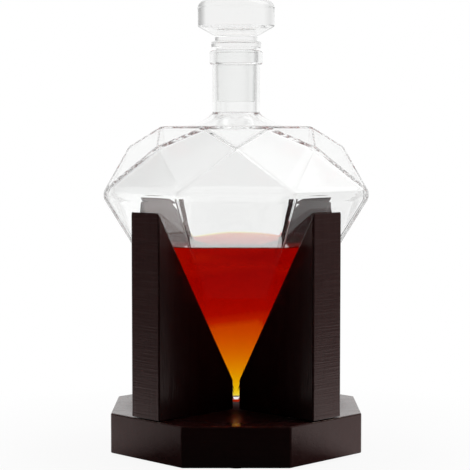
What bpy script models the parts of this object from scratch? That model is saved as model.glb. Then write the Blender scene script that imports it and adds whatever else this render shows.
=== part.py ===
# Diamond-shaped glass decanter with a ground glass stopper, part filled with liquor and
# standing point down in a cradle of four wooden fins. Lengths are in metres, the front
# faces -Y, and Z = 0 is the surface that the felt pads stand on.

import math

import bmesh
import bpy
from mathutils import Vector

# The glass body and the base are eight sided, with a flat facing the front
SIDES = 8
FACE_STEP = 2 * math.pi / SIDES
CORNER_TURN = FACE_STEP / 2

# Gaps between pieces that touch, and how far a cutter runs past what it cuts
SEAT_GAP = 0.0003
CRADLE_GAP = 0.0004
OVERRUN = 0.002

# Stand: base and fins are sawn from one board
BOARD_THICKNESS = 0.0226
BASE_ACROSS_FLATS = 0.1405
FIN_NAMES = ("front_left", "front_right", "rear_right", "rear_left")
FIN_AZIMUTHS_DEG = (-45, 45, 135, 225)
FIN_CORNER_GAP = 0.0031
EASED_EDGE = 0.0008

# Felt pads under the base, in line with its front, side and back flats
PAD_NAMES = ("front", "right", "rear", "left")
PAD_DIAMETER = 0.014
PAD_THICKNESS = 0.001
PAD_EDGE_DISTANCE = 0.013

# Countersunk wood screws that hold each fin from below
SCREW_NAMES = ("inner", "outer")
SCREW_LENGTH = 0.040
SCREW_SHANK_DIAMETER = 0.004
SCREW_HEAD_DIAMETER = 0.008
SCREW_HEAD_RIM = 0.0004
SCREW_POINT_LENGTH = 0.005
SCREW_SINK = 0.0006
SCREW_END_DISTANCE = 0.014
DRIVE_SLOT_LENGTH = 0.0044
DRIVE_SLOT_WIDTH = 0.001
DRIVE_SLOT_DEPTH = 0.0014

# Decanter body, sized where its flats would meet at sharp corners
GIRDLE_ACROSS_FLATS = 0.1504
PAVILION_DEPTH = 0.1283
GIRDLE_TO_TABLE = 0.0375
MID_RING_DIAMETER = 0.123
TABLE_DIAMETER = 0.092
GIRDLE_EDGE_RADIUS = 0.007
CROWN_EDGE_RADIUS = 0.0025
TIP_RADIUS = 0.007
TIP_CLEARANCE = 0.0015
GLASS_WALL = 0.0035
CAVITY_GIRDLE_RADIUS = 0.006
CAVITY_CROWN_RADIUS = 0.005
CAVITY_TIP_RADIUS = 0.004
LIQUOR_LEVEL = 0.101

# Neck, which grows out of the table in a soft shoulder and ends in a thick lip
NECK_DIAMETER = 0.027
NECK_HEIGHT = 0.043
SHOULDER_DIAMETER = 0.060
SHOULDER_RISE = 0.0082
SHOULDER_LAP = 0.0004
SHOULDER_BEND_SHARES = (0.12, 0.44)
LIP_DIAMETER = 0.0303
LIP_HEIGHT = 0.0079
LIP_EDGE_RADIUS = 0.0014

# Stopper: ground plug, collar, waist and a disc-shaped head, all turned
PLUG_TOP_DIAMETER = 0.0232
PLUG_FOOT_DIAMETER = 0.0218
PLUG_LENGTH = 0.0293
PLUG_CHAMFER = 0.0008
COLLAR_REVEAL = 0.0013
COLLAR_DIAMETER = 0.0286
COLLAR_HEIGHT = 0.0038
COLLAR_EDGE_RADIUS = 0.0008
WAIST_DIAMETER = 0.0243
WAIST_HEIGHT = 0.0037
HEAD_FOOT_DIAMETER = 0.0268
HEAD_DIAMETER = 0.0439
HEAD_UNDERCUT_HEIGHT = 0.0043
HEAD_HEIGHT = 0.0156
HEAD_EDGE_RADIUS = 0.0012
HEAD_EDGE_START_DEG = -60
HEAD_SHOULDER_RADIUS = 0.0045

# Smoothness of round work
NECK_SEGMENTS = 40
PAD_SEGMENTS = 20
SCREW_SEGMENTS = 12
CURVE_STEPS = 6
ARC_STEPS = 3
BALL_LATITUDES = 12
BALL_LONGITUDES = 16
SMOOTH_ANGLE_DEG = 32
EDGE_SEGMENTS = 2
MERGE_DISTANCE = 0.000001
FLAT_TOLERANCE = math.radians(0.2)

# Heights and reaches that follow from the sizes above
BASE_UNDERSIDE = PAD_THICKNESS + SEAT_GAP
BASE_TOP = BASE_UNDERSIDE + BOARD_THICKNESS
BASE_REACH = BASE_ACROSS_FLATS / 2
GIRDLE_REACH = GIRDLE_ACROSS_FLATS / 2
PAVILION_ANGLE = math.atan2(GIRDLE_REACH, PAVILION_DEPTH)
TABLE_LEVEL = PAVILION_DEPTH + GIRDLE_TO_TABLE
LIP_LEVEL = TABLE_LEVEL + NECK_HEIGHT
CULET_LEVEL = BASE_TOP + TIP_CLEARANCE - TIP_RADIUS * (1 / math.sin(PAVILION_ANGLE) - 1)
FIN_FOOT = BASE_TOP + SEAT_GAP
FIN_INNER_REACH = BOARD_THICKNESS / 2 + FIN_CORNER_GAP / math.sqrt(2)


def clear_scene():
    for item in list(bpy.data.objects):
        bpy.data.objects.remove(item, do_unlink=True)


def make_material(name, colour, roughness, transmission=0.0, metallic=0.0):
    material = bpy.data.materials.new(name)
    material.use_nodes = True
    shader = material.node_tree.nodes["Principled BSDF"]
    shader.inputs["Base Color"].default_value = (*colour, 1.0)
    shader.inputs["Roughness"].default_value = roughness
    shader.inputs["Metallic"].default_value = metallic
    shader.inputs["Transmission Weight"].default_value = transmission
    material.diffuse_color = (*colour, 1.0)
    return material


def add_empty(name, level):
    empty = bpy.data.objects.new(name, None)
    bpy.context.collection.objects.link(empty)
    empty.location = (0, 0, level)
    return empty


def add_piece(name, mesh, material, parent, location=(0, 0, 0), turn=0.0):
    piece = bpy.data.objects.new(name, mesh)
    bpy.context.collection.objects.link(piece)
    if not mesh.materials:
        mesh.materials.append(material)
    piece.parent = parent
    piece.location = location
    piece.rotation_euler = (0, 0, turn)
    return piece


def to_mesh(name, shape, smooth=True):
    mesh = bpy.data.meshes.new(name)
    bmesh.ops.recalc_face_normals(shape, faces=shape.faces)
    shape.to_mesh(mesh)
    shape.free()
    if smooth:
        mesh.shade_smooth()
        mesh.set_sharp_from_angle(angle=math.radians(SMOOTH_ANGLE_DEG))
    return mesh


def add_tool(name, mesh, parent=None):
    """A body that only shapes another one, and isn't part of the object."""
    tool = bpy.data.objects.new(name, mesh)
    bpy.context.collection.objects.link(tool)
    tool.parent = parent
    tool.hide_render = True
    tool.display_type = "WIRE"
    return tool


def combine(piece, operation, tool):
    modifier = piece.modifiers.new(tool.name, "BOOLEAN")
    modifier.operation = operation
    modifier.solver = "EXACT"
    modifier.object = tool


def ease_edges(piece, width):
    modifier = piece.modifiers.new("eased_edges", "BEVEL")
    modifier.width = width
    modifier.segments = EDGE_SEGMENTS
    modifier.limit_method = "ANGLE"


def finished_mesh(name, piece, *tools):
    """The shape that a piece's modifiers give it, as a mesh that copies can share."""
    bpy.context.view_layer.update()
    depsgraph = bpy.context.evaluated_depsgraph_get()
    mesh = bpy.data.meshes.new_from_object(piece.evaluated_get(depsgraph))
    mesh.name = name
    for item in (piece, *tools):
        bpy.data.objects.remove(item, do_unlink=True)
    return mesh


# Outlines and round bodies

def point_at(reach, azimuth, level):
    """A point at an azimuth counted from the front, towards +X."""
    return Vector((reach * math.sin(azimuth), -reach * math.cos(azimuth), level))


def arc(centre, radius, start_deg, end_deg):
    points = []
    for step in range(ARC_STEPS + 1):
        angle = math.radians(start_deg + (end_deg - start_deg) * step / ARC_STEPS)
        points.append((centre[0] + radius * math.cos(angle), centre[1] + radius * math.sin(angle)))
    return points


def bend(start, pull, end):
    """A smooth curve from start to end that leans towards pull."""
    points = []
    for step in range(CURVE_STEPS + 1):
        t = step / CURVE_STEPS
        near, middle, far = (1 - t) ** 2, 2 * t * (1 - t), t ** 2
        points.append(tuple(near * a + middle * b + far * c for a, b, c in zip(start, pull, end)))
    return points


def turned(outline, segments):
    """A solid turned about Z from (radius, level) points that start and end on the axis."""
    shape = bmesh.new()
    points = [shape.verts.new((radius, 0, level)) for radius, level in outline]
    edges = [shape.edges.new(pair) for pair in zip(points, points[1:])]
    bmesh.ops.spin(
        shape, geom=points + edges, cent=(0, 0, 0), axis=(0, 0, 1),
        angle=2 * math.pi, steps=segments, use_merge=True,
    )
    bmesh.ops.remove_doubles(shape, verts=shape.verts, dist=MERGE_DISTANCE)
    return shape


def prism(outline, height, level=0.0):
    """An upright prism on an outline of (x, y) points."""
    shape = bmesh.new()
    foot = shape.faces.new([shape.verts.new((x, y, level)) for x, y in outline])
    top = bmesh.ops.extrude_face_region(shape, geom=[foot])
    lifted = [item for item in top["geom"] if isinstance(item, bmesh.types.BMVert)]
    bmesh.ops.translate(shape, verts=lifted, vec=(0, 0, height))
    return shape


# Faceted bodies: flats are (outward, upward, distance) at an azimuth of their own, and a
# body is the skin stretched over balls that sit inside its corners

def flat_through(low, high):
    """The flat whose trace passes through two (reach, level) points."""
    rise = high[1] - low[1]
    narrowing = low[0] - high[0]
    size = math.hypot(rise, narrowing)
    outward, upward = rise / size, narrowing / size
    return outward, upward, outward * low[0] + upward * low[1]


def flat_over(first, second):
    """The flat that rests on two (reach, level, radius) balls, the lower one first."""
    along = (first[0] - second[0], first[1] - second[1])
    lean = math.atan2(along[1], along[0]) + math.acos((second[2] - first[2]) / math.hypot(*along))
    return math.cos(lean), math.sin(lean)


def inside_corner(first, second, inset, turns=(0.0, 0.0)):
    """The (reach, level) that lies inset inside two flats, each turned from this azimuth."""
    a, b, p = first[0] * math.cos(turns[0]), first[1], first[2] - inset
    c, d, q = second[0] * math.cos(turns[1]), second[1], second[2] - inset
    scale = a * d - b * c
    return (p * d - b * q) / scale, (a * q - p * c) / scale


def ball_directions():
    directions = [Vector((0, 0, 1)), Vector((0, 0, -1))]
    for row in range(1, BALL_LATITUDES):
        polar = math.pi * row / BALL_LATITUDES
        for column in range(BALL_LONGITUDES):
            azimuth = 2 * math.pi * column / BALL_LONGITUDES
            directions.append(point_at(math.sin(polar), azimuth, math.cos(polar)))
    return directions


def skin(balls, normals):
    """The tight skin over balls given as (centre, radius), exactly flat along normals."""
    shape = bmesh.new()
    directions = ball_directions() + normals
    for centre, radius in balls:
        for direction in directions:
            shape.verts.new(centre + direction * radius)
    bmesh.ops.remove_doubles(shape, verts=shape.verts, dist=MERGE_DISTANCE)
    hull = bmesh.ops.convex_hull(shape, input=shape.verts)
    spare = set(hull["geom_interior"]) | set(hull["geom_unused"])
    spare_points = [item for item in spare if isinstance(item, bmesh.types.BMVert)]
    bmesh.ops.delete(shape, geom=spare_points, context="VERTS")
    bmesh.ops.dissolve_limit(shape, angle_limit=FLAT_TOLERANCE, verts=shape.verts, edges=shape.edges)
    return shape


def ring(reach, level, turn):
    return [point_at(reach, index * FACE_STEP + turn, level) for index in range(SIDES)]


# The decanter's own frame has its origin at the culet, where its lower flats would meet

PAVILION = flat_through((0.0, 0.0), (GIRDLE_REACH, PAVILION_DEPTH))
TABLE = (0.0, 1.0, TABLE_LEVEL)
KITE = flat_through(
    (GIRDLE_REACH / math.cos(CORNER_TURN), PAVILION_DEPTH),
    (TABLE_DIAMETER / 2, TABLE_LEVEL),
)
MID_REACH = MID_RING_DIAMETER / 2
MID_LEVEL = (KITE[2] - KITE[0] * MID_REACH * math.cos(CORNER_TURN)) / KITE[1]
STAR = flat_through(
    (MID_REACH, MID_LEVEL),
    (TABLE_DIAMETER / 2 * math.cos(CORNER_TURN), TABLE_LEVEL),
)


def diamond(inset, girdle_radius, crown_radius, tip_radius):
    """The diamond form, its flats set in by inset and its corners rounded."""
    girdle = inside_corner(PAVILION, KITE, inset + girdle_radius, (CORNER_TURN, 0.0))
    table = inside_corner(KITE, TABLE, inset + crown_radius)
    middle = inside_corner(KITE, STAR, inset + crown_radius, (CORNER_TURN, 0.0))
    tip = Vector((0, 0, (inset + tip_radius) / math.sin(PAVILION_ANGLE)))
    balls = [(tip, tip_radius)]
    balls += [(centre, girdle_radius) for centre in ring(*girdle, CORNER_TURN)]
    balls += [(centre, crown_radius) for centre in ring(*table, CORNER_TURN)]
    balls += [(centre, crown_radius) for centre in ring(*middle, 0.0)]
    mid_ball = (*middle, crown_radius)
    girdle_ball = (girdle[0] * math.cos(CORNER_TURN), girdle[1], girdle_radius)
    table_ball = (table[0] * math.cos(CORNER_TURN), table[1], crown_radius)
    normals = ring(PAVILION[0], PAVILION[1], 0.0) + ring(KITE[0], KITE[1], CORNER_TURN)
    normals += ring(*flat_over(girdle_ball, mid_ball), 0.0)
    normals += ring(*flat_over(mid_ball, table_ball), 0.0)
    return skin(balls, normals)


def plug_radius(level):
    """Radius of the ground plug at a level counted from the top of the lip."""
    taper = (PLUG_TOP_DIAMETER - PLUG_FOOT_DIAMETER) / 2 / PLUG_LENGTH
    return PLUG_TOP_DIAMETER / 2 + taper * level


def neck_outline():
    shoulder, neck, lip = SHOULDER_DIAMETER / 2, NECK_DIAMETER / 2, LIP_DIAMETER / 2
    start = (shoulder, TABLE_LEVEL - SHOULDER_LAP)
    end = (neck, TABLE_LEVEL + SHOULDER_RISE)
    pull = (
        neck + SHOULDER_BEND_SHARES[0] * (shoulder - neck),
        TABLE_LEVEL + SHOULDER_BEND_SHARES[1] * SHOULDER_RISE,
    )
    lip_foot = LIP_LEVEL - LIP_HEIGHT
    edge = lip - LIP_EDGE_RADIUS
    root = TABLE_LEVEL - GLASS_WALL / 2
    return [
        (0, root), (shoulder, root), *bend(start, pull, end), (neck, lip_foot),
        *arc((edge, lip_foot + LIP_EDGE_RADIUS), LIP_EDGE_RADIUS, -90, 0),
        *arc((edge, LIP_LEVEL - LIP_EDGE_RADIUS), LIP_EDGE_RADIUS, 0, 90),
        (0, LIP_LEVEL),
    ]


def bore_outline():
    """The way into the body: a soft shoulder, a straight throat and the ground seat."""
    throat = PLUG_FOOT_DIAMETER / 2 + SEAT_GAP
    wall = NECK_DIAMETER / 2 - throat
    shoulder = SHOULDER_DIAMETER / 2 - GLASS_WALL
    start = (shoulder, TABLE_LEVEL - GLASS_WALL - SHOULDER_LAP)
    end = (throat, TABLE_LEVEL + SHOULDER_RISE - wall)
    pull = (
        throat + SHOULDER_BEND_SHARES[0] * (shoulder - throat),
        TABLE_LEVEL - GLASS_WALL + SHOULDER_BEND_SHARES[1] * (SHOULDER_RISE + GLASS_WALL - wall),
    )
    foot = start[1] - OVERRUN
    mouth = LIP_LEVEL + OVERRUN
    return [
        (0, foot), (shoulder, foot), *bend(start, pull, end), (throat, LIP_LEVEL - PLUG_LENGTH),
        (plug_radius(OVERRUN) + SEAT_GAP, mouth), (0, mouth),
    ]


def glass_vessel(parent, material):
    body = to_mesh(
        "glass_vessel", diamond(0.0, GIRDLE_EDGE_RADIUS, CROWN_EDGE_RADIUS, TIP_RADIUS),
    )
    cavity = to_mesh(
        "cavity", diamond(GLASS_WALL, CAVITY_GIRDLE_RADIUS, CAVITY_CROWN_RADIUS, CAVITY_TIP_RADIUS),
    )
    vessel = add_piece("glass_vessel", body, material, parent)
    neck = to_mesh("neck_form", turned(neck_outline(), NECK_SEGMENTS))
    bore = to_mesh("bore", turned(bore_outline(), NECK_SEGMENTS))
    combine(vessel, "UNION", add_tool("neck_form", neck, parent))
    combine(vessel, "DIFFERENCE", add_tool("cavity", cavity, parent))
    combine(vessel, "DIFFERENCE", add_tool("bore", bore, parent))


def liquor(parent, material):
    """The liquor fills the cavity up to its level, a hair clear of the glass."""
    shape = diamond(
        GLASS_WALL + SEAT_GAP, CAVITY_GIRDLE_RADIUS - SEAT_GAP,
        CAVITY_CROWN_RADIUS - SEAT_GAP, CAVITY_TIP_RADIUS - SEAT_GAP,
    )
    cut = bmesh.ops.bisect_plane(
        shape, geom=list(shape.verts) + list(shape.edges) + list(shape.faces),
        plane_co=(0, 0, LIQUOR_LEVEL), plane_no=(0, 0, 1), clear_outer=True,
    )
    rim = [item for item in cut["geom_cut"] if isinstance(item, bmesh.types.BMEdge)]
    bmesh.ops.edgeloop_fill(shape, edges=rim)
    add_piece("liquor", to_mesh("liquor", shape), material, parent)


# The stopper's own frame has its origin at the top of the lip

def stopper_outline():
    foot, collar, waist = -PLUG_LENGTH, COLLAR_DIAMETER / 2, WAIST_DIAMETER / 2
    shank, head = PLUG_TOP_DIAMETER / 2, HEAD_DIAMETER / 2
    collar_top = COLLAR_REVEAL + COLLAR_HEIGHT
    collar_edge = collar - COLLAR_EDGE_RADIUS
    head_foot = collar_top + WAIST_HEIGHT
    band_foot = head_foot + HEAD_UNDERCUT_HEIGHT
    top = band_foot + HEAD_HEIGHT
    edge = (head - HEAD_EDGE_RADIUS, band_foot + HEAD_EDGE_RADIUS)
    shoulder = (head - HEAD_SHOULDER_RADIUS, top - HEAD_SHOULDER_RADIUS)
    return [
        (0, foot), (plug_radius(foot) - PLUG_CHAMFER, foot),
        (plug_radius(foot + PLUG_CHAMFER), foot + PLUG_CHAMFER), (shank, 0), (shank, COLLAR_REVEAL),
        *arc((collar_edge, COLLAR_REVEAL + COLLAR_EDGE_RADIUS), COLLAR_EDGE_RADIUS, -90, 0),
        *arc((collar_edge, collar_top - COLLAR_EDGE_RADIUS), COLLAR_EDGE_RADIUS, 0, 90),
        (waist, collar_top), (waist, head_foot), (HEAD_FOOT_DIAMETER / 2, head_foot),
        *arc(edge, HEAD_EDGE_RADIUS, HEAD_EDGE_START_DEG, 0),
        *arc(shoulder, HEAD_SHOULDER_RADIUS, 0, 90),
        (0, top),
    ]


def glass_stopper(parent, material):
    stopper = to_mesh("glass_stopper", turned(stopper_outline(), NECK_SEGMENTS))
    add_piece("glass_stopper", stopper, material, parent)


# Stand

def screw_profile(sink, growth, overrun=0.0):
    """Half outline of a countersunk screw, or with growth of the hole that clears it."""
    shank = SCREW_SHANK_DIAMETER / 2 + growth
    head = SCREW_HEAD_DIAMETER / 2 + growth
    rim = sink + SCREW_HEAD_RIM + growth
    taper = rim + head - shank
    tip = sink + SCREW_LENGTH + growth
    foot = sink - overrun
    return [
        (0, foot), (head, foot), (head, rim), (shank, taper),
        (shank, tip - SCREW_POINT_LENGTH), (0, tip),
    ]


def screw_mesh():
    body = to_mesh("screw", turned(screw_profile(0.0, 0.0), SCREW_SEGMENTS))
    screw = bpy.data.objects.new("screw", body)
    bpy.context.collection.objects.link(screw)
    tools = []
    for name, half_x, half_y in (
        ("slot_along", DRIVE_SLOT_LENGTH / 2, DRIVE_SLOT_WIDTH / 2),
        ("slot_across", DRIVE_SLOT_WIDTH / 2, DRIVE_SLOT_LENGTH / 2),
    ):
        outline = [(-half_x, -half_y), (half_x, -half_y), (half_x, half_y), (-half_x, half_y)]
        slot = to_mesh(name, prism(outline, OVERRUN + DRIVE_SLOT_DEPTH, -OVERRUN), smooth=False)
        tools.append(add_tool(name, slot))
        combine(screw, "DIFFERENCE", tools[-1])
    return finished_mesh("wood_screw", screw, *tools)


def screw_reaches():
    return (FIN_INNER_REACH + SCREW_END_DISTANCE, BASE_REACH - SCREW_END_DISTANCE)


def screw_hole(reach, azimuth):
    """The hole for one screw through base and fin, as a turned body in its place."""
    shape = turned(screw_profile(BASE_UNDERSIDE + SCREW_SINK, SEAT_GAP, OVERRUN), SCREW_SEGMENTS)
    bmesh.ops.translate(shape, verts=shape.verts, vec=point_at(reach, azimuth, 0))
    return shape


def joined(name, shapes):
    whole = bmesh.new()
    for shape in shapes:
        mesh = to_mesh(name, shape, smooth=False)
        whole.from_mesh(mesh)
        bpy.data.meshes.remove(mesh)
    return to_mesh(name, whole, smooth=False)


def base_board(parent, material):
    corner = BASE_REACH / math.cos(CORNER_TURN)
    outline = [point.to_2d() for point in ring(corner, 0.0, CORNER_TURN)]
    board = to_mesh("base_board", prism(outline, BOARD_THICKNESS, BASE_UNDERSIDE), smooth=False)
    piece = add_piece("base_board", board, material, parent)
    ease_edges(piece, EASED_EDGE)
    holes = [
        screw_hole(reach, math.radians(degrees))
        for degrees in FIN_AZIMUTHS_DEG for reach in screw_reaches()
    ]
    tool = add_tool("base_screw_holes", joined("base_screw_holes", holes), parent)
    combine(piece, "DIFFERENCE", tool)


def fin_mesh():
    """One fin, standing along the front azimuth, its sloped edge parallel to the glass."""
    slack = CRADLE_GAP / math.cos(PAVILION_ANGLE)
    steepness = math.tan(PAVILION_ANGLE)
    heel = CULET_LEVEL + (FIN_INNER_REACH - slack) / steepness
    peak = CULET_LEVEL + (BASE_REACH - slack) / steepness
    outline = [
        (FIN_INNER_REACH, FIN_FOOT), (BASE_REACH, FIN_FOOT), (BASE_REACH, peak), (FIN_INNER_REACH, heel),
    ]
    shape = bmesh.new()
    side = shape.faces.new([
        shape.verts.new(point_at(reach, 0, level) - Vector((BOARD_THICKNESS / 2, 0, 0)))
        for reach, level in outline
    ])
    pushed = bmesh.ops.extrude_face_region(shape, geom=[side])
    far_side = [item for item in pushed["geom"] if isinstance(item, bmesh.types.BMVert)]
    bmesh.ops.translate(shape, verts=far_side, vec=(BOARD_THICKNESS, 0, 0))
    fin = bpy.data.objects.new("fin", to_mesh("fin", shape, smooth=False))
    bpy.context.collection.objects.link(fin)
    ease_edges(fin, EASED_EDGE)
    holes = joined("fin_holes", [screw_hole(reach, 0.0) for reach in screw_reaches()])
    tool = add_tool("fin_holes", holes)
    combine(fin, "DIFFERENCE", tool)
    return finished_mesh("fin", fin, tool)


def stand(parent, wood, felt, steel):
    base_board(parent, wood)
    fin = fin_mesh()
    screw = screw_mesh()
    for side, degrees in zip(FIN_NAMES, FIN_AZIMUTHS_DEG):
        azimuth = math.radians(degrees)
        add_piece(side + "_fin", fin, wood, parent, turn=azimuth)
        for place, reach in zip(SCREW_NAMES, screw_reaches()):
            seat = point_at(reach, azimuth, BASE_UNDERSIDE + SCREW_SINK)
            add_piece(side + "_" + place + "_screw", screw, steel, parent, seat, azimuth)
    outline = [(0, 0), (PAD_DIAMETER / 2, 0), (PAD_DIAMETER / 2, PAD_THICKNESS), (0, PAD_THICKNESS)]
    pad = to_mesh("felt_pad", turned(outline, PAD_SEGMENTS))
    for index, side in enumerate(PAD_NAMES):
        azimuth = index * 2 * math.pi / len(PAD_NAMES)
        spot = point_at(BASE_REACH - PAD_EDGE_DISTANCE, azimuth, 0)
        add_piece(side + "_pad", pad, felt, parent, spot)


clear_scene()
WOOD = make_material("dark_wood", (0.022, 0.009, 0.008), 0.32)
FELT = make_material("black_felt", (0.02, 0.02, 0.02), 0.95)
STEEL = make_material("zinc_steel", (0.62, 0.60, 0.55), 0.35, metallic=1.0)
GLASS = make_material("clear_glass", (0.97, 0.98, 0.97), 0.02, transmission=1.0)
LIQUOR = make_material("red_liquor", (0.42, 0.02, 0.01), 0.05, transmission=0.8)
stand(add_empty("stand_frame", 0.0), WOOD, FELT, STEEL)
decanter_frame = add_empty("decanter_frame", CULET_LEVEL)
glass_vessel(decanter_frame, GLASS)
liquor(decanter_frame, LIQUOR)
stopper_frame = add_empty("stopper_frame", CULET_LEVEL + LIP_LEVEL)
glass_stopper(stopper_frame, GLASS)
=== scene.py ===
import math

import bpy
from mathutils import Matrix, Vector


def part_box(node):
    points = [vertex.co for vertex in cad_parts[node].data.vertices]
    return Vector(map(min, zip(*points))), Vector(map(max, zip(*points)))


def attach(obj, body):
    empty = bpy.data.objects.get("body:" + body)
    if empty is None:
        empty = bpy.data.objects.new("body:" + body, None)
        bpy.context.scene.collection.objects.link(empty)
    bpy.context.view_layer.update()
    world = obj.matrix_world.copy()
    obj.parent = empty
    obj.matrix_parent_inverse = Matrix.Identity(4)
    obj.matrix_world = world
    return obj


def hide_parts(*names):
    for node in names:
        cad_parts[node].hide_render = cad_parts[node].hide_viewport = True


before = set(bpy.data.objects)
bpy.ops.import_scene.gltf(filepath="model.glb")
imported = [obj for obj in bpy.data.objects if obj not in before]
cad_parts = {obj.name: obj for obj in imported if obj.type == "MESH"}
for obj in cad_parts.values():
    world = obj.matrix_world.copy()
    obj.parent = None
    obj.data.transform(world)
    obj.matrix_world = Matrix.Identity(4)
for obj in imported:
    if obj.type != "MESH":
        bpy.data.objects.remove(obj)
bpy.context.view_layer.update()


# Base board: an eight-sided plate sawn from hardwood, stained nearly black and sprayed
# with satin lacquer, thinly in the middle. Its grain runs from left to right and its rims are
# eased and a little rubbed. A broken pale line round the feet of the fins is a painted
# highlight, standing in for light caught by their eased bottom edges.
DARK_STAIN = (0.0500, 0.0098, 0.0092, 1)
OPEN_STAIN = (0.0620, 0.0150, 0.0140, 1)
RUBBED_STAIN = (0.0900, 0.0550, 0.0500, 1)
SAWN_STAIN = (0.0900, 0.0420, 0.0400, 1)
WARM_LACQUER = (1.0, 0.78, 0.74, 1)
LACQUER_ROUGHNESS = (0.14, 0.24)
RUBBED_ROUGHNESS = 0.10
THIN_LACQUER = (0.030, 0.075, 0.70, 0.14)
BOARD_GRAIN = (14, 190, 190)
GRAIN_RELIEF = 0.00004
STREAK_RANGE = (0.3, 0.7)
PORE_RANGE = (0.55, 0.68)
PORE_DEPTH = -0.6
EDGE_WEAR_WIDTH = 0.0010
EDGE_TURN = (0.999, 0.93)
RUBBED_PATCHES = (0.38, 0.62, 0.35, 1.0)
SAW_RIPPLES = (38, 38, 1100)
SAWN_FACE = (0.9, 0.98)
PALE_RIDGES = (0.5, 0.66, 0.0, 0.35)
STEP = math.pi / 4
FOOT_LENGTH = 0.07
FOOT_HALF_WIDTH = 0.0113
FOOT_HIGHLIGHT_WIDTH = 0.0004
FOOT_HIGHLIGHT_BREAKS = (0.45, 0.6)
FOOT_HIGHLIGHT_UNDER_TOP = (0.0006, 0.0003)
PAINTED_FOOT_HIGHLIGHT = (0.34, 0.26, 0.21, 1)


def feed(tree, socket, value):
    """Sets an input, or wires another node's output to it."""
    if isinstance(value, bpy.types.NodeSocket):
        tree.links.new(value, socket)
    else:
        socket.default_value = value


def put(tree, kind, inputs=None, **settings):
    """A new node, with its settings made and its inputs set or wired."""
    node = tree.nodes.new(kind)
    for name, value in settings.items():
        setattr(node, name, value)
    for name, value in (inputs or {}).items():
        feed(tree, node.inputs[name], value)
    return node


def maths(tree, operation, *values):
    return put(tree, "ShaderNodeMath", dict(enumerate(values)), operation=operation).outputs[0]


def product(tree, first, *others):
    for other in others:
        first = maths(tree, "MULTIPLY", first, other)
    return first


def largest(tree, first, *others):
    for other in others:
        first = maths(tree, "MAXIMUM", first, other)
    return first


def spread(tree, value, low, high, new_low=0.0, new_high=1.0):
    """The share of value between low and high, as a number between new_low and new_high."""
    return put(tree, "ShaderNodeMapRange", {
        "Value": value, "From Min": low, "From Max": high, "To Min": new_low, "To Max": new_high,
    }).outputs["Result"]


def vector_maths(tree, operation, *vectors):
    """A vector operation, as its outputs Vector and Value."""
    inputs = dict(enumerate(vectors))
    return put(tree, "ShaderNodeVectorMath", inputs, operation=operation).outputs


def axes_of(tree, vector):
    return put(tree, "ShaderNodeSeparateXYZ", {"Vector": vector}).outputs


def mapped(tree, vector, how, amounts):
    """A vector turned by Rotation or stretched by Scale."""
    return put(tree, "ShaderNodeMapping", {"Vector": vector, how: amounts}).outputs["Vector"]


def noise(tree, vector, **inputs):
    return put(tree, "ShaderNodeTexNoise", {"Vector": vector, **inputs}).outputs["Fac"]


def object_place(tree):
    return put(tree, "ShaderNodeTexCoord").outputs["Object"]


def facing_way(tree):
    return put(tree, "ShaderNodeNewGeometry").outputs["Normal"]


def blend_colour(tree, share, first, second):
    inputs = {0: share, 6: first, 7: second}
    return put(tree, "ShaderNodeMix", inputs, data_type="RGBA").outputs[2]


def add_relief(tree, shader, height, distance):
    bump = put(tree, "ShaderNodeBump", {"Height": height, "Distance": distance})
    feed(tree, shader.inputs["Normal"], bump.outputs["Normal"])


def new_group(name, inputs, outputs):
    """An empty node group whose sockets are given as (name, kind)."""
    tree = bpy.data.node_groups.new(name, "ShaderNodeTree")
    for title, kind in inputs:
        tree.interface.new_socket(title, in_out="INPUT", socket_type="NodeSocket" + kind)
    for title, kind in outputs:
        tree.interface.new_socket(title, in_out="OUTPUT", socket_type="NodeSocket" + kind)
    return tree, tree.nodes.new("NodeGroupInput").outputs, tree.nodes.new("NodeGroupOutput").inputs


def use_group(tree, name, inputs):
    group = bpy.data.node_groups[name]
    return put(tree, "ShaderNodeGroup", inputs, node_tree=group).outputs


def new_finish(name):
    """A material, its node tree and its Principled shader."""
    finish = bpy.data.materials.new(name)
    finish.use_nodes = True
    return finish, finish.node_tree, finish.node_tree.nodes["Principled BSDF"]


def dress(node_name, finish):
    """Gives a piece of the frame its finish in place of the plain one."""
    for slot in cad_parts[node_name].material_slots:
        slot.material = finish


tree, given, result = new_group(
    "Stained grain",
    [("Vector", "Vector"), ("Dark", "Color"), ("Open", "Color")],
    [("Stain", "Color"), ("Streaks", "Float"), ("Relief", "Float")],
)
streaks = noise(tree, given["Vector"], Scale=1.0, Detail=7.0, Roughness=0.62, Distortion=0.35)
pores = noise(tree, given["Vector"], Scale=5.5, Detail=3.0, Roughness=0.5)
soft_streaks = spread(tree, streaks, *STREAK_RANGE)
dug_pores = spread(tree, pores, *PORE_RANGE, 0.0, PORE_DEPTH)
feed(tree, result["Stain"], blend_colour(tree, soft_streaks, given["Dark"], given["Open"]))
feed(tree, result["Streaks"], soft_streaks)
feed(tree, result["Relief"], maths(tree, "ADD", soft_streaks, dug_pores))

tree, given, result = new_group(
    "Rubbed edge",
    [("Stain", "Color"), ("Rubbed", "Color"), ("Width", "Float")],
    [("Colour", "Color"), ("Wear", "Float")],
)
rounded = put(tree, "ShaderNodeBevel", {"Radius": given["Width"]}, samples=6).outputs["Normal"]
likeness = vector_maths(tree, "DOT_PRODUCT", rounded, facing_way(tree))["Value"]
patches = noise(tree, object_place(tree), Scale=160.0, Detail=4.0, Roughness=0.6)
near_edge = spread(tree, likeness, *EDGE_TURN)
wear = product(tree, near_edge, spread(tree, patches, *RUBBED_PATCHES))
feed(tree, result["Colour"], blend_colour(tree, wear, given["Stain"], given["Rubbed"]))
feed(tree, result["Wear"], wear)


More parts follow.
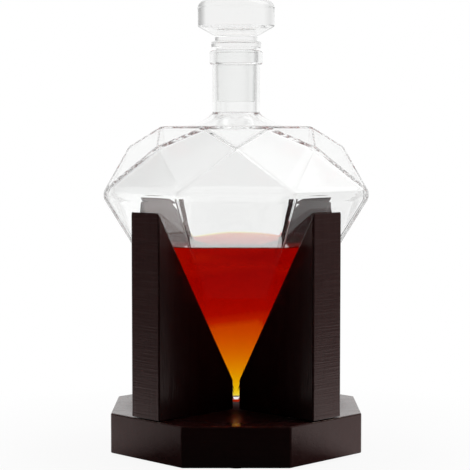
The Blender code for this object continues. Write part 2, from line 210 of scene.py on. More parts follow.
def stained_wood(name, grain_scale, turn=0.0, saw_depth=0.0, saw_axis=(0, 0, 0)):
    """Dark stained wood whose streaks are stretched by grain_scale after a turn about Z."""
    finish, tree, shader = new_finish(name)
    turned_place = mapped(tree, object_place(tree), "Rotation", (0, 0, turn))
    grain = use_group(tree, "Stained grain", {
        "Vector": mapped(tree, turned_place, "Scale", grain_scale),
        "Dark": DARK_STAIN, "Open": OPEN_STAIN,
    })
    stain, relief = grain["Stain"], grain["Relief"]
    if saw_depth:
        ripples = noise(
            tree, mapped(tree, turned_place, "Scale", SAW_RIPPLES),
            Scale=1.0, Detail=3.0, Roughness=0.55, Distortion=0.2,
        )
        sawn = vector_maths(tree, "DOT_PRODUCT", facing_way(tree), saw_axis)["Value"]
        on_end = spread(tree, maths(tree, "ABSOLUTE", sawn), *SAWN_FACE)
        relief = maths(tree, "ADD", relief, product(tree, ripples, on_end, saw_depth))
        ridges = product(tree, spread(tree, ripples, *PALE_RIDGES), on_end)
        stain = blend_colour(tree, ridges, stain, SAWN_STAIN)
    edge = use_group(tree, "Rubbed edge", {
        "Stain": stain, "Rubbed": RUBBED_STAIN, "Width": EDGE_WEAR_WIDTH,
    })
    feed(tree, shader.inputs["Base Color"], edge["Colour"])
    gloss = spread(tree, grain["Streaks"], 0.0, 1.0, *LACQUER_ROUGHNESS)
    rubbed_gloss = maths(tree, "ADD", gloss, product(tree, edge["Wear"], RUBBED_ROUGHNESS))
    feed(tree, shader.inputs["Roughness"], rubbed_gloss)
    shader.inputs["Specular Tint"].default_value = WARM_LACQUER
    add_relief(tree, shader, relief, GRAIN_RELIEF)
    return finish


base_wood = stained_wood("stained_base", BOARD_GRAIN)
tree = base_wood.node_tree
place = object_place(tree)
turned_place = mapped(tree, place, "Rotation", (0, 0, STEP))
# A broken pale line on the top of the base round each fin's foot: a painted highlight of light
# caught by the fins' eased bottom edges.
to_feet = axes_of(tree, vector_maths(tree, "ABSOLUTE", turned_place)["Vector"])
past_feet = []
for along, across in (("X", "Y"), ("Y", "X")):
    past_end = maths(tree, "SUBTRACT", to_feet[along], FOOT_LENGTH)
    past_side = maths(tree, "SUBTRACT", to_feet[across], FOOT_HALF_WIDTH)
    past_feet.append(maths(tree, "MAXIMUM", past_end, past_side))
past_foot = maths(tree, "SUBTRACT", maths(tree, "MINIMUM", *past_feet), FOOT_HIGHLIGHT_WIDTH / 2)
off_line = maths(tree, "ABSOLUTE", past_foot)
highlight_line = spread(tree, off_line, FOOT_HIGHLIGHT_WIDTH / 2, FOOT_HIGHLIGHT_WIDTH, 1.0, 0.0)
highlight_breaks = spread(tree, noise(tree, place, Scale=130.0, Detail=3.0), *FOOT_HIGHLIGHT_BREAKS)
board_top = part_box("base_board")[1].z
top_levels = [board_top - drop for drop in FOOT_HIGHLIGHT_UNDER_TOP]
on_top = spread(tree, axes_of(tree, place)["Z"], *top_levels)
painted_highlight_share = product(tree, highlight_line, highlight_breaks, on_top)
wood_colour = tree.nodes["Principled BSDF"].inputs["Base Color"]
bare_wood = wood_colour.links[0].from_socket
feed(tree, wood_colour, blend_colour(tree, painted_highlight_share, bare_wood, PAINTED_FOOT_HIGHLIGHT))
wood_roughness = tree.nodes["Principled BSDF"].inputs["Roughness"]
sprayed = wood_roughness.links[0].from_socket
from_middle = vector_maths(tree, "LENGTH", place)["Value"]
feed(tree, wood_roughness, largest(tree, sprayed, spread(tree, from_middle, *THIN_LACQUER)))
dress("base_board", base_wood)


# Four fins: pieces of the same board stood on end, glued and screwed to the base. Their
# grain stands upright, and their narrow faces keep the fine ripple of the saw.
FIN_GRAIN = (190, 190, 14)
SAW_DEPTH = 3.0
FINS = {"front_left_fin": -45, "front_right_fin": 45, "rear_right_fin": 135, "rear_left_fin": 225}

for fin_name, azimuth in FINS.items():
    turn = math.radians(azimuth)
    outward = (math.sin(turn), -math.cos(turn), 0)
    dress(fin_name, stained_wood("stained_" + fin_name, FIN_GRAIN, -turn, SAW_DEPTH, outward))


# Eight countersunk wood screws, driven from below: zinc-plated steel, dull grey with a
# faint yellow and blue cast where the plating is thick.
ZINC = (0.56, 0.57, 0.58, 1)
WARM_ZINC = (0.55, 0.50, 0.40, 1)
WARM_CLOUDS = (0.4, 0.65)
ZINC_ROUGHNESS = (0.3, 0.7, 0.26, 0.44)
SCRATCH_RELIEF = 0.00002

zinc_steel, tree, shader = new_finish("zinc_plating")
place = object_place(tree)
clouds = noise(tree, place, Scale=420.0, Detail=4.0)
scratches = noise(tree, place, Scale=2600.0, Detail=2.0)
zinc_colour = blend_colour(tree, spread(tree, clouds, *WARM_CLOUDS), ZINC, WARM_ZINC)
feed(tree, shader.inputs["Base Color"], zinc_colour)
feed(tree, shader.inputs["Roughness"], spread(tree, clouds, *ZINC_ROUGHNESS))
shader.inputs["Metallic"].default_value = 1.0
add_relief(tree, shader, scratches, SCRATCH_RELIEF)
for fin_name in FINS:
    for screw_place in ("inner", "outer"):
        dress(fin_name.replace("fin", screw_place + "_screw"), zinc_steel)


# Four round pads under the base: discs of black wool felt, punched out and glued on. They
# keep the wood off the table.
FELT = (0.006, 0.006, 0.0065, 1)
FELT_FIBRE = (0.030, 0.029, 0.031, 1)
FIBRE_RANGE = (0.42, 0.7)
FELT_ROUGHNESS = 0.95
FELT_SHEEN = 0.4
FELT_SHINE = 0.2
FELT_RELIEF = 0.0002

felt, tree, shader = new_finish("wool_felt")
fibres = noise(tree, object_place(tree), Scale=1500.0, Detail=6.0, Roughness=0.7, Distortion=1.2)
felt_colour = blend_colour(tree, spread(tree, fibres, *FIBRE_RANGE), FELT, FELT_FIBRE)
feed(tree, shader.inputs["Base Color"], felt_colour)
shader.inputs["Roughness"].default_value = FELT_ROUGHNESS
shader.inputs["Specular IOR Level"].default_value = FELT_SHINE
shader.inputs["Sheen Weight"].default_value = FELT_SHEEN
add_relief(tree, shader, fibres, FELT_RELIEF)
for side in ("front", "right", "rear", "left"):
    dress(side + "_pad", felt)


# Decanter: one piece of clear glass blown into a faceted mould and opened by a drawn neck
# with a thick lip. Its facets bulge a little and its inside is wavy, as blown glass is, and
# the seat inside the neck is ground to take the plug.
GIRDLE_REACH = 0.0752
PAVILION_DEPTH = 0.1283
GIRDLE_TO_TABLE = 0.0375
MID_RING_REACH = 0.0615
TABLE_REACH = 0.046
WALL = 0.0035
OUTER_RADII = (0.007, 0.0045, 0.007)
INNER_RADII = (0.0045, 0.0015, 0.0045)
NECK_RADIUS = 0.0135
SHOULDER_RADIUS = 0.030
SHOULDER_RISE = 0.0082
SHOULDER_PULL = (0.12, 0.44)
LIP_RADIUS = 0.01515
LIP_HEIGHT = 0.0079
LIP_EDGE = 0.0014
MOUTH_EDGE = 0.0005
SEAT_TOP_RADIUS = 0.0119
SEAT_FOOT_RADIUS = 0.0112
SEAT_DEPTH = 0.0293
GROUND_FROM_LIP = 0.0008
BORE_MARGIN = 0.0005
NECK_SIDES = 96
BALL_SIDES = 48
BALL_RINGS = 36
FLAT_WITHIN_DEG = 0.3
LARGE_FLAT_AREA = 0.003
LEVEL_FACE = 0.999
NEARBY = 0.0002
SAME_POINT = 0.000002
SHARP_GLASS_DEG = 40
GLASS_TINT = (0.972, 0.975, 0.972, 1)
GLASS_IOR = 1.5
LAMP_THROUGH_GLASS = (0.96, 0.97, 0.965, 1)
BODY_WAVES = (70.0, 0.00002)
INNER_WAVES = (55.0, 0.00006)
WET_WAVES = (55.0, 0.00004)
GROUND_WAVES = (900.0, 0.00001)
GROUND_ROUGHNESS = 0.12
FACET_BULGE = 1.4
BULGE_END = (0.125, 0.148)
BULGE_FOOT = 0.115
BULGE_RISE = 0.0014

glass_low, glass_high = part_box("glass_vessel")
pavilion_angle = math.atan2(GIRDLE_REACH, PAVILION_DEPTH)
culet = glass_low.z - OUTER_RADII[2] * (1 / math.sin(pavilion_angle) - 1)
table_level = culet + PAVILION_DEPTH + GIRDLE_TO_TABLE
lip_level = glass_high.z
liquor_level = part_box("liquor")[1].z

tree, given, result = new_group(
    "Moulded glass relief",
    [("Wave Scale", "Float"), ("Wave Height", "Float"), ("Bulge", "Float")],
    [("Relief", "Float")],
)
place = object_place(tree)
waves = noise(tree, place, Scale=given["Wave Scale"], Detail=1.5, Roughness=0.4)
axes = axes_of(tree, place)
reach = put(tree, "ShaderNodeCombineXYZ", {0: axes["X"], 1: axes["Y"]}).outputs["Vector"]
reach = vector_maths(tree, "LENGTH", reach)["Value"]
azimuth = maths(tree, "ARCTAN2", axes["X"], axes["Y"])
aside = product(tree, maths(tree, "WRAP", azimuth, STEP / 2, -STEP / 2), reach)
fading = product(tree, spread(tree, axes["Z"], *BULGE_END, 1.0, 0.0), given["Bulge"])
fall = product(tree, aside, aside, fading)
climb = largest(tree, maths(tree, "SUBTRACT", axes["Z"], BULGE_FOOT), 0.0)
climb = product(tree, climb, climb, given["Bulge"])
climb = maths(tree, "SMOOTH_MIN", climb, BULGE_RISE, BULGE_RISE / 2)
fall = maths(tree, "ADD", fall, climb)
relief = maths(tree, "SUBTRACT", product(tree, waves, given["Wave Height"]), fall)
feed(tree, result["Relief"], relief)


def let_lamps_through(tree, shader, colour):
    """Lamp light passes straight through the piece and takes its colour."""
    straight = put(tree, "ShaderNodeBsdfTransparent", {"Color": colour}).outputs[0]
    lamp_ray = put(tree, "ShaderNodeLightPath").outputs["Is Shadow Ray"]
    body = put(tree, "ShaderNodeMixShader", {0: lamp_ray, 1: shader.outputs[0], 2: straight})
    feed(tree, tree.nodes["Material Output"].inputs["Surface"], body.outputs[0])


def clear_glass(name, waves, rough=0.0, shine=1.0, bulge=0.0, tint=GLASS_TINT):
    """Clear glass; waves are the scale and the height of its relief."""
    finish, tree, shader = new_finish(name)
    shader.inputs["Base Color"].default_value = tint
    shader.inputs["Roughness"].default_value = rough
    shader.inputs["IOR"].default_value = GLASS_IOR
    shader.inputs["Specular Tint"].default_value = (shine, shine, shine, 1)
    shader.inputs["Transmission Weight"].default_value = 1.0
    relief = use_group(tree, "Moulded glass relief", {
        "Wave Scale": waves[0], "Wave Height": waves[1], "Bulge": bulge,
    })
    add_relief(tree, shader, relief["Relief"], 1.0)
    let_lamps_through(tree, shader, LAMP_THROUGH_GLASS)
    return finish


body_glass = clear_glass("decanter_body_glass", BODY_WAVES, bulge=FACET_BULGE)
inner_glass = clear_glass("decanter_inner_wall", INNER_WAVES)
wet_glass = clear_glass("decanter_wet_wall", WET_WAVES, shine=0.0)
seat_glass = clear_glass("ground_seat_glass", GROUND_WAVES, GROUND_ROUGHNESS)


def flat_through(low, high):
    """The flat through two (reach, level) points, as (outward, upward, distance)."""
    rise, narrowing = high[1] - low[1], low[0] - high[0]
    size = math.hypot(rise, narrowing)
    return rise / size, narrowing / size, (rise * low[0] + narrowing * low[1]) / size


def inside_corner(first, second, inset, turn):
    """The (reach, level) that lies inset inside two flats, the first one turned."""
    a, b, p = first[0] * math.cos(turn), first[1], first[2] - inset
    c, d, q = second[0], second[1], second[2] - inset
    scale = a * d - b * c
    return (p * d - b * q) / scale, (a * q - p * c) / scale


pavilion = flat_through((0, 0), (GIRDLE_REACH, PAVILION_DEPTH))
kite = flat_through(
    (GIRDLE_REACH / math.cos(STEP / 2), PAVILION_DEPTH),
    (TABLE_REACH, PAVILION_DEPTH + GIRDLE_TO_TABLE),
)
mid_level = (kite[2] - kite[0] * MID_RING_REACH * math.cos(STEP / 2)) / kite[1]
star = flat_through(
    (MID_RING_REACH, mid_level),
    (TABLE_REACH * math.cos(STEP / 2), PAVILION_DEPTH + GIRDLE_TO_TABLE),
)
table = (0, 1, PAVILION_DEPTH + GIRDLE_TO_TABLE)


def select_only(*pieces):
    bpy.ops.object.select_all(action="DESELECT")
    for piece in pieces:
        piece.select_set(True)
    bpy.context.view_layer.objects.active = pieces[0]


def select_faces(piece, wanted):
    """Selects, in edit mode, the faces that pass wanted, and nothing else."""
    bpy.ops.mesh.select_all(action="DESELECT")
    bpy.ops.object.mode_set(mode="OBJECT")
    for face in piece.data.polygons:
        face.select = wanted(face)
    bpy.ops.object.mode_set(mode="EDIT")


def diamond(name, inset, radii):
    """The faceted form, set in from the outside: a ball in each corner, wrapped in a skin."""
    girdle_ball = inside_corner(pavilion, kite, inset + radii[0], STEP / 2)
    mid_ball = inside_corner(kite, star, inset + radii[1], STEP / 2)
    table_ball = inside_corner(table, kite, inset + radii[1], 0)
    rings = (
        (girdle_ball, radii[0], STEP / 2),
        (mid_ball, radii[1], 0),
        (table_ball, radii[1], STEP / 2),
    )
    balls = [(0, 0, (inset + radii[2]) / math.sin(pavilion_angle), radii[2])]
    for index in range(8):
        for (reach, level), radius, turn in rings:
            azimuth = index * STEP + turn
            balls.append((reach * math.sin(azimuth), -reach * math.cos(azimuth), level, radius))
    parts = []
    for x, y, level, radius in balls:
        bpy.ops.mesh.primitive_uv_sphere_add(
            segments=BALL_SIDES, ring_count=BALL_RINGS, radius=radius,
            location=(x, y, culet + level),
        )
        parts.append(bpy.context.active_object)
    select_only(*parts)
    bpy.ops.object.join()
    form = bpy.context.active_object
    form.name = form.data.name = name
    bpy.ops.object.transform_apply(location=True, rotation=True, scale=True)
    bpy.ops.object.mode_set(mode="EDIT")
    bpy.ops.mesh.select_all(action="SELECT")
    bpy.ops.mesh.delete(type="ONLY_FACE")
    bpy.ops.mesh.select_all(action="SELECT")
    bpy.ops.mesh.convex_hull(use_existing_faces=False, join_triangles=False)
    bpy.ops.mesh.select_all(action="SELECT")
    bpy.ops.mesh.dissolve_limited(angle_limit=math.radians(FLAT_WITHIN_DEG))
    return form


def open_table(piece):
    """Takes out the flat at the top, where the neck goes in."""
    select_faces(
        piece, lambda face: face.normal.z > LEVEL_FACE and face.area > LARGE_FLAT_AREA,
    )
    bpy.ops.mesh.delete(type="FACE")


def bend(start, pull, end, steps=14):
    """Points of a smooth curve from start to end that leans towards pull."""
    points = []
    for index in range(steps + 1):
        t = index / steps
        near, middle, far = (1 - t) ** 2, 2 * t * (1 - t), t ** 2
        points.append(tuple(near * a + middle * b + far * c for a, b, c in zip(start, pull, end)))
    return points


def arc(centre, radius, start_deg, end_deg, steps=8):
    points = []
    for index in range(steps + 1):
        angle = math.radians(start_deg + (end_deg - start_deg) * index / steps)
        points.append((centre[0] + radius * math.cos(angle), centre[1] + radius * math.sin(angle)))
    return points


def turn_up(name, outline, cap):
    """A form turned about Z: a ring drawn out and resized from point to point."""
    bpy.ops.object.select_all(action="DESELECT")
    bpy.ops.mesh.primitive_circle_add(
        vertices=NECK_SIDES, radius=outline[0][0], location=(0, 0, outline[0][1]), fill_type=cap,
    )
    form = bpy.context.active_object
    form.name = form.data.name = name
    bpy.ops.object.transform_apply(location=True, rotation=True, scale=True)
    bpy.ops.object.mode_set(mode="EDIT")
    bpy.ops.mesh.select_all(action="SELECT")
    for (radius, level), (next_radius, next_level) in zip(outline, outline[1:]):
        climb = (0, 0, next_level - level)
        bpy.ops.mesh.extrude_region_move(TRANSFORM_OT_translate={"value": climb})
        growth = next_radius / radius
        bpy.ops.transform.resize(value=(growth, growth, 1), center_override=(0, 0, 0))
    return form


outer = diamond("decanter_glass", 0.0, OUTER_RADII)
open_table(outer)
bpy.ops.object.mode_set(mode="OBJECT")
outer.data.materials.append(body_glass)

inner = diamond("cavity", WALL, INNER_RADII)
open_table(inner)
bpy.ops.mesh.select_all(action="SELECT")
bpy.ops.mesh.bisect(plane_co=(0, 0, liquor_level), plane_no=(0, 0, 1))
bpy.ops.mesh.select_all(action="SELECT")
bpy.ops.mesh.flip_normals()
bpy.ops.object.mode_set(mode="OBJECT")
inner.data.materials.append(inner_glass)
inner.data.materials.append(wet_glass)
for face in inner.data.polygons:
    face.material_index = 1 if face.center.z < liquor_level else 0

ceiling = table_level - WALL
inner_shoulder = SHOULDER_RADIUS - WALL
lip_foot, seat_foot = lip_level - LIP_HEIGHT, lip_level - SEAT_DEPTH
shoulder_pull = (
    NECK_RADIUS + SHOULDER_PULL[0] * (SHOULDER_RADIUS - NECK_RADIUS),
    table_level + SHOULDER_PULL[1] * SHOULDER_RISE,
)
neck_foot = (NECK_RADIUS, table_level + SHOULDER_RISE)
neck_outline = bend((SHOULDER_RADIUS, table_level), shoulder_pull, neck_foot)
neck_outline += [(NECK_RADIUS, lip_foot)]
neck_outline += arc((LIP_RADIUS - LIP_EDGE, lip_foot + LIP_EDGE), LIP_EDGE, -90, 0)
neck_outline += arc((LIP_RADIUS - LIP_EDGE, lip_level - LIP_EDGE), LIP_EDGE, 0, 90)
neck_outline += arc((SEAT_TOP_RADIUS + MOUTH_EDGE, lip_level - MOUTH_EDGE), MOUTH_EDGE, 90, 180, 4)
throat_wall = NECK_RADIUS - SEAT_FOOT_RADIUS
bore_end = (SEAT_FOOT_RADIUS, table_level + SHOULDER_RISE - throat_wall)
bore_pull = (
    SEAT_FOOT_RADIUS + SHOULDER_PULL[0] * (inner_shoulder - SEAT_FOOT_RADIUS),
    ceiling + SHOULDER_PULL[1] * (bore_end[1] - ceiling),
)
neck_outline += [(SEAT_FOOT_RADIUS, seat_foot)]
neck_outline += bend(bore_end, bore_pull, (inner_shoulder, ceiling))
neck = turn_up("neck", neck_outline, "NOTHING")
bpy.ops.object.mode_set(mode="OBJECT")
for material in (body_glass, seat_glass, inner_glass):
    neck.data.materials.append(material)
for face in neck.data.polygons:
    reach = math.hypot(face.center.x, face.center.y)
    beside_plug = seat_foot < face.center.z < lip_level - GROUND_FROM_LIP
    if reach < SEAT_TOP_RADIUS + NEARBY and beside_plug:
        face.material_index = 1
    elif face.center.z < seat_foot and reach < NECK_RADIUS - BORE_MARGIN:
        face.material_index = 2

select_only(outer, inner, neck)
bpy.ops.object.join()
vessel = bpy.context.active_object


def close_ring(piece, level):
    """Fills the flat ring between a round rim and the eight-sided rim around it."""
    bpy.ops.object.mode_set(mode="EDIT")
    bpy.ops.mesh.select_all(action="DESELECT")
    bpy.ops.mesh.select_mode(type="EDGE")
    bpy.ops.mesh.select_non_manifold(extend=False)
    bpy.ops.object.mode_set(mode="OBJECT")
    points = piece.data.vertices
    for edge in piece.data.edges:
        middle = (points[edge.vertices[0]].co + points[edge.vertices[1]].co) / 2
        if abs(middle.z - level) > NEARBY:
            edge.select = False
    bpy.ops.object.mode_set(mode="EDIT")
    bpy.ops.mesh.fill(use_beauty=True)
    bpy.ops.object.mode_set(mode="OBJECT")


def merge_points():
    """Merges the points that meet in the active piece and turns its faces outwards."""
    bpy.ops.object.mode_set(mode="EDIT")
    bpy.ops.mesh.select_mode(type="VERT")
    bpy.ops.mesh.select_all(action="SELECT")
    bpy.ops.mesh.remove_doubles(threshold=SAME_POINT)
    bpy.ops.mesh.normals_make_consistent(inside=False)
    bpy.ops.object.mode_set(mode="OBJECT")


close_ring(vessel, table_level)
close_ring(vessel, ceiling)
merge_points()
for face in vessel.data.polygons:
    if abs(face.center.z - ceiling) < NEARBY and abs(face.normal.z) > LEVEL_FACE:
        face.material_index = list(vessel.data.materials).index(inner_glass)


def smooth_finish(piece, angle_deg):
    """Smooth shading that keeps flats flat and edges sharp above an angle."""
    select_only(piece)
    bpy.ops.object.shade_smooth_by_angle(angle=math.radians(angle_deg))
    weighted = piece.modifiers.new("flat_faces_stay_flat", "WEIGHTED_NORMAL")
    weighted.mode = "FACE_AREA"
    weighted.weight = 100
    weighted.keep_sharp = True
    bpy.ops.object.modifier_apply(modifier=weighted.name)


smooth_finish(vessel, SHARP_GLASS_DEG)
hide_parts("glass_vessel")
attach(vessel, "decanter")


# Liquor: a dark red spirit that fills the lower part of the decanter. It wets the glass,
# so its rim creeps up the wall. It looks yellow in the point and pale at the rim, and red
# in between, where it is deep.
WETTING = 0.00005
MENISCUS = 0.0006
MENISCUS_STEPS = ((0.9955, 0.45), (0.9945, 0.28), (0.992, 0.17), (0.988, 0.10))
SHARP_LIQUOR_DEG = 50
LAYER_TILT = (-0.15, 0, 1)
COLOUR_BREAK = (0.0588, 0.0630)
PALE_RIM = (0.0950, 0.0995, 1.0, 0.0)
SURFACE_FACING = (0.7, 0.8, 1.0, 0.0)
PALE_SPIRIT = (1, 1, 1, 1)
DEEP_SPIRIT = (0.75, 0.10, 0.15, 1)
SPIRIT_FILTER = (0.9800, 0.888, 0.0, 1)
SPIRIT_DENSITY = 450.0
SPIRIT_IOR = 1.36
LAMP_THROUGH_SPIRIT = (0.55, 0.12, 0.05, 1)

liquor = diamond("red_liquor_fill", WALL - WETTING, [radius + WETTING for radius in INNER_RADII])
bpy.ops.mesh.select_all(action="SELECT")
bpy.ops.mesh.bisect(
    plane_co=(0, 0, liquor_level), plane_no=(0, 0, 1), use_fill=True, clear_outer=True,
)
select_faces(liquor, lambda face: face.normal.z > LEVEL_FACE)
for narrower, share in MENISCUS_STEPS:
    bpy.ops.mesh.extrude_region_move(TRANSFORM_OT_translate={"value": (0, 0, -MENISCUS * share)})
    bpy.ops.transform.resize(value=(narrower, narrower, 1), center_override=(0, 0, 0))
bpy.ops.mesh.select_all(action="SELECT")
bpy.ops.mesh.normals_make_consistent(inside=False)
bpy.ops.object.mode_set(mode="OBJECT")
smooth_finish(liquor, SHARP_LIQUOR_DEG)

spirit, tree, shader = new_finish("red_spirit")
height = vector_maths(tree, "DOT_PRODUCT", object_place(tree), LAYER_TILT)["Value"]
height = maths(tree, "SUBTRACT", height, culet)
upwards = maths(tree, "ABSOLUTE", axes_of(tree, facing_way(tree))["Z"])
deep = product(
    tree, spread(tree, height, *COLOUR_BREAK), spread(tree, height, *PALE_RIM),
    spread(tree, upwards, *SURFACE_FACING),
)
feed(tree, shader.inputs["Base Color"], blend_colour(tree, deep, PALE_SPIRIT, DEEP_SPIRIT))
shader.inputs["Roughness"].default_value = 0.0
shader.inputs["IOR"].default_value = SPIRIT_IOR
shader.inputs["Specular Tint"].default_value = (0, 0, 0, 1)
shader.inputs["Transmission Weight"].default_value = 1.0
let_lamps_through(tree, shader, LAMP_THROUGH_SPIRIT)
depth = put(tree, "ShaderNodeVolumeAbsorption", {
    "Color": SPIRIT_FILTER, "Density": SPIRIT_DENSITY,
})
feed(tree, tree.nodes["Material Output"].inputs["Volume"], depth.outputs[0])
liquor.data.materials.clear()
liquor.data.materials.append(spirit)
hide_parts("liquor")
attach(liquor, "decanter")


# Stopper: solid glass turned in one piece, with a ground plug, a collar that rests just
# above the lip, a waist and a heavy round head.
PLUG_TOP_RADIUS = 0.0116
PLUG_TIP_RADIUS = 0.0101
PLUG_EDGE = 0.0008
PLUG_FILLET = 0.0004
PLUG_GROUND_ENDS = (0.0006, 0.0005)
COLLAR_REVEAL = 0.0013
COLLAR_RADIUS = 0.0143
COLLAR_HEIGHT = 0.0038
COLLAR_EDGE = 0.0008
WAIST_RADIUS = 0.01215
WAIST_HEIGHT = 0.0037
WAIST_FILLET = 0.0006
WAIST_TOP = 0.0005
HEAD_FOOT_RADIUS = 0.0134
HEAD_FOOT_EDGE = (0.0008, 0.0001)
HEAD_RADIUS = 0.02195
HEAD_UNDERCUT = 0.0043
HEAD_EDGE = 0.0012
HEAD_SHOULDER = 0.0045
THICK_GLASS_TINT = (0.925, 0.927, 0.922, 1)
STOPPER_WAVES = (90.0, 0.00002)

plug_foot, head_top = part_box("glass_stopper")[0].z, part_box("glass_stopper")[1].z
collar_foot = lip_level + COLLAR_REVEAL
collar_top = collar_foot + COLLAR_HEIGHT
head_foot = collar_top + WAIST_HEIGHT
band_foot = head_foot + HEAD_UNDERCUT
fillet_level = collar_foot - PLUG_FILLET
collar_core = COLLAR_RADIUS - COLLAR_EDGE
stopper_outline = arc((PLUG_TIP_RADIUS, plug_foot + PLUG_EDGE), PLUG_EDGE, -90, 0, 5)
stopper_outline += [(PLUG_TOP_RADIUS, lip_level), (PLUG_TOP_RADIUS, fillet_level)]
stopper_outline += arc((PLUG_TOP_RADIUS + PLUG_FILLET, fillet_level), PLUG_FILLET, 180, 90, 3)
stopper_outline += arc((collar_core, collar_foot + COLLAR_EDGE), COLLAR_EDGE, -90, 0, 6)
stopper_outline += arc((collar_core, collar_top - COLLAR_EDGE), COLLAR_EDGE, 0, 90, 6)
stopper_outline += arc(
    (WAIST_RADIUS + WAIST_FILLET, collar_top + WAIST_FILLET), WAIST_FILLET, 270, 180, 4,
)
stopper_outline += [
    (WAIST_RADIUS, head_foot - WAIST_TOP),
    (HEAD_FOOT_RADIUS - HEAD_FOOT_EDGE[0], head_foot - HEAD_FOOT_EDGE[1]),
    (HEAD_FOOT_RADIUS, head_foot),
]
stopper_outline += arc((HEAD_RADIUS - HEAD_EDGE, band_foot + HEAD_EDGE), HEAD_EDGE, -60, 0, 6)
stopper_outline += arc(
    (HEAD_RADIUS - HEAD_SHOULDER, head_top - HEAD_SHOULDER), HEAD_SHOULDER, 0, 90, 14,
)
stopper = turn_up("ground_stopper", stopper_outline, "NGON")
merge_points()
smooth_finish(stopper, SHARP_GLASS_DEG)
stopper_glass = clear_glass("stopper_glass", STOPPER_WAVES, tint=THICK_GLASS_TINT)
plug_glass = clear_glass("ground_plug_glass", GROUND_WAVES, GROUND_ROUGHNESS)
stopper.data.materials.clear()
stopper.data.materials.append(stopper_glass)
stopper.data.materials.append(plug_glass)
ground_from, ground_to = plug_foot + PLUG_GROUND_ENDS[0], lip_level - PLUG_GROUND_ENDS[1]
for face in stopper.data.polygons:
    face.material_index = 1 if ground_from < face.center.z < ground_to else 0
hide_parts("glass_stopper")
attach(stopper, "stopper")


# Studio: a plain white floor that keeps a soft shadow, and white air behind it that grows
# dim towards the camera. Glass also shows a dim strip on each side and a black screen high
# on the left, which draw its edges. One large soft lamp stands on the right.
FLOOR_SIZE = 30
FLOOR_GREY = (0.8, 0.8, 0.8, 1)
FLOOR_ROUGHNESS = 0.9
FLOOR_WHITE = (0.10, 0.24, 0.92, 1.0)
FLOOR_BEFORE_STAND = (-0.85, -0.6, 0.9, 0.1)
FLOOR_IN_GLOSS = ((0.1, 0.9, 3.2, 0.5), (1.2, 3.0, 0.5, 1.3), (0.12, 0.45, 9.0, 0.0))
DIM_FRONT = 0.02
DIM_RING = (0.15, 0.25, DIM_FRONT, 1.0)
DIM_BEHIND = (0.05, 0.12, DIM_FRONT, 1.0)
RIGHT_STRIP = (0.64, 0.95, 1.0, 0.10)
RIGHT_STRIP_END = (0.96, 0.985)
RIGHT_STRIP_TOP = (0.25, 0.45)
LEFT_STRIP = (-0.55, -0.8, 1.0, 0.84)
BLACK_SCREEN_WAY = (-0.786, 0.214, 0.582)
BLACK_SCREEN = (0.86, 0.95, 1.0, 0.05)
SIDE_AIR = (-1.0, 1.0, 0.14, 0.28)
FRONT_AIR = (-0.6, 0.0, DIM_FRONT, 1.0)
BACK_AIR = (0.25, 0.8)
SOFT_LIGHT_WAY = (0, 1, 0.3)
SOFT_LIGHT = (0.05, 0.45, 0.0, 1.3)
SOFTBOX_PLACE = (0.80, 0.14, 1.02)
SOFTBOX_SIZE = 0.9
SOFTBOX_WATTS = 3
CAMERA_PLACE = (-0.00063, -0.8949, 0.1773)
CAMERA_DOWN_DEG = 3.532
LENS_MM = 119.48
SENSOR_MM = 36
CAMERA_NEAR_LIMIT = 0.05
THICK_GLASS_BOUNCES = 48

tree, given, result = new_group(
    "Studio air",
    [("Vector", "Vector")],
    [("Through", "Float"), ("Mirrored", "Float")],
)
heading = vector_maths(tree, "NORMALIZE", given["Vector"])["Vector"]
to_screen = vector_maths(tree, "DOT_PRODUCT", heading, BLACK_SCREEN_WAY)["Value"]
way = axes_of(tree, heading)
right_strip = largest(
    tree, spread(tree, way["X"], *RIGHT_STRIP), spread(tree, way["X"], *RIGHT_STRIP_END),
    spread(tree, way["Z"], *RIGHT_STRIP_TOP),
)
left_strip = spread(tree, way["X"], *LEFT_STRIP)
black_screen = spread(tree, to_screen, *BLACK_SCREEN)
feed(tree, result["Through"], product(tree, right_strip, left_strip, black_screen))
sides = product(tree, spread(tree, way["X"], *SIDE_AIR), spread(tree, way["Y"], *FRONT_AIR))
feed(tree, result["Mirrored"], largest(tree, sides, spread(tree, way["Y"], *BACK_AIR)))


def glass_light(tree, kind_of_ray, way, through_share=1.0, mirrored_share=1.0):
    """The studio as glass and gloss show it: one brightness through glass, one mirrored."""
    studio = use_group(tree, "Studio air", {"Vector": way})
    through = kind_of_ray["Is Transmission Ray"]
    mirrored = maths(tree, "SUBTRACT", kind_of_ray["Is Glossy Ray"], through)
    mirrored = product(tree, largest(tree, mirrored, 0.0), mirrored_share, studio["Mirrored"])
    through = product(tree, through, through_share, studio["Through"])
    return maths(tree, "ADD", mirrored, through)


bpy.ops.object.select_all(action="DESELECT")
bpy.ops.mesh.primitive_plane_add(size=FLOOR_SIZE, location=(0, 0, 0))
floor = bpy.context.active_object
floor.name = "white_table"
table_white, tree, shader = new_finish("white_table_top")
shader.inputs["Base Color"].default_value = FLOOR_GREY
shader.inputs["Roughness"].default_value = FLOOR_ROUGHNESS
shader.inputs["Specular IOR Level"].default_value = 0.0
kind_of_ray = put(tree, "ShaderNodeLightPath").outputs
place = object_place(tree)
from_stand = vector_maths(tree, "LENGTH", place)["Value"]
to_back = axes_of(tree, place)["Y"]
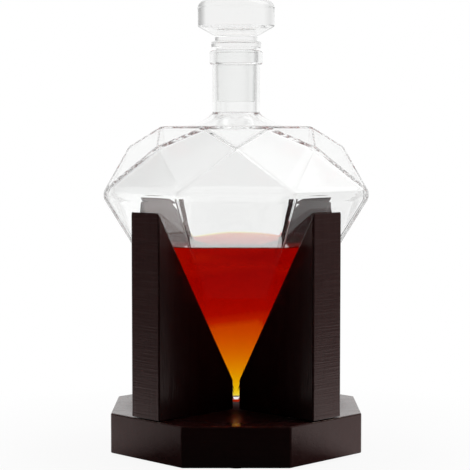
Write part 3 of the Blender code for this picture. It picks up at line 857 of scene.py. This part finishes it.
# For glass and gloss the floor glows, though it is no lamp. Seen through glass it is dim right
# round the stand except behind it, a painted shade. Mirrored in gloss it glows brighter near the
# stand, a painted glow. In front of the stand it gives almost no bounced light.
clear_of_stand = largest(
    tree, spread(tree, from_stand, *DIM_RING), spread(tree, to_back, *DIM_BEHIND),
)
in_gloss = largest(tree, *(spread(tree, from_stand, *reach) for reach in FLOOR_IN_GLOSS))
glass_glow = glass_light(tree, kind_of_ray, place, clear_of_stand, in_gloss)
glass_glow = maths(tree, "MINIMUM", glass_glow, 1.0)
glow = put(tree, "ShaderNodeEmission", {
    "Color": largest(tree, kind_of_ray["Is Camera Ray"], glass_glow),
})
before_stand = axes_of(tree, vector_maths(tree, "NORMALIZE", place)["Vector"])["Y"]
before_stand = spread(tree, before_stand, *FLOOR_BEFORE_STAND)
glow_share = largest(
    tree,
    product(tree, kind_of_ray["Is Camera Ray"], spread(tree, from_stand, *FLOOR_WHITE)),
    kind_of_ray["Is Glossy Ray"],
    kind_of_ray["Is Transmission Ray"],
    product(tree, kind_of_ray["Is Diffuse Ray"], before_stand),
)
lit = put(tree, "ShaderNodeMixShader", {0: glow_share, 1: shader.outputs[0], 2: glow.outputs[0]})
feed(tree, tree.nodes["Material Output"].inputs["Surface"], lit.outputs[0])
floor.data.materials.append(table_white)

air = bpy.data.worlds.new("white_air")
bpy.context.scene.world = air
air.use_nodes = True
tree = air.node_tree
kind_of_ray = put(tree, "ShaderNodeLightPath").outputs
way = put(tree, "ShaderNodeTexCoord").outputs["Generated"]
soft_light = vector_maths(tree, "DOT_PRODUCT", way, SOFT_LIGHT_WAY)["Value"]
soft_light = product(tree, kind_of_ray["Is Diffuse Ray"], spread(tree, soft_light, *SOFT_LIGHT))
brightness = largest(
    tree, kind_of_ray["Is Camera Ray"], glass_light(tree, kind_of_ray, way), soft_light,
)
feed(tree, tree.nodes["Background"].inputs["Color"], brightness)

softbox_data = bpy.data.lights.new("right_softbox", "AREA")
softbox_data.shape = "RECTANGLE"
softbox_data.size = SOFTBOX_SIZE
softbox_data.size_y = SOFTBOX_SIZE
softbox_data.energy = SOFTBOX_WATTS
softbox = bpy.data.objects.new("right_softbox", softbox_data)
bpy.context.scene.collection.objects.link(softbox)
softbox.location = SOFTBOX_PLACE
to_decanter = (glass_low + glass_high) / 2 - softbox.location
softbox.rotation_euler = to_decanter.to_track_quat("-Z", "Y").to_euler()
softbox.visible_camera = False

camera_data = bpy.data.cameras.new("camera")
camera = bpy.data.objects.new("camera", camera_data)
bpy.context.scene.collection.objects.link(camera)
camera_data.sensor_width = SENSOR_MM
camera_data.lens = LENS_MM
camera_data.clip_start = CAMERA_NEAR_LIMIT
camera.location = CAMERA_PLACE
camera.rotation_euler = (math.radians(90 - CAMERA_DOWN_DEG), 0, 0)
bpy.context.scene.camera = camera
bpy.context.scene.view_settings.view_transform = "Standard"
light_paths = bpy.context.scene.cycles
light_paths.max_bounces = THICK_GLASS_BOUNCES
light_paths.transmission_bounces = THICK_GLASS_BOUNCES
light_paths.glossy_bounces = THICK_GLASS_BOUNCES

bpy.context.view_layer.update()
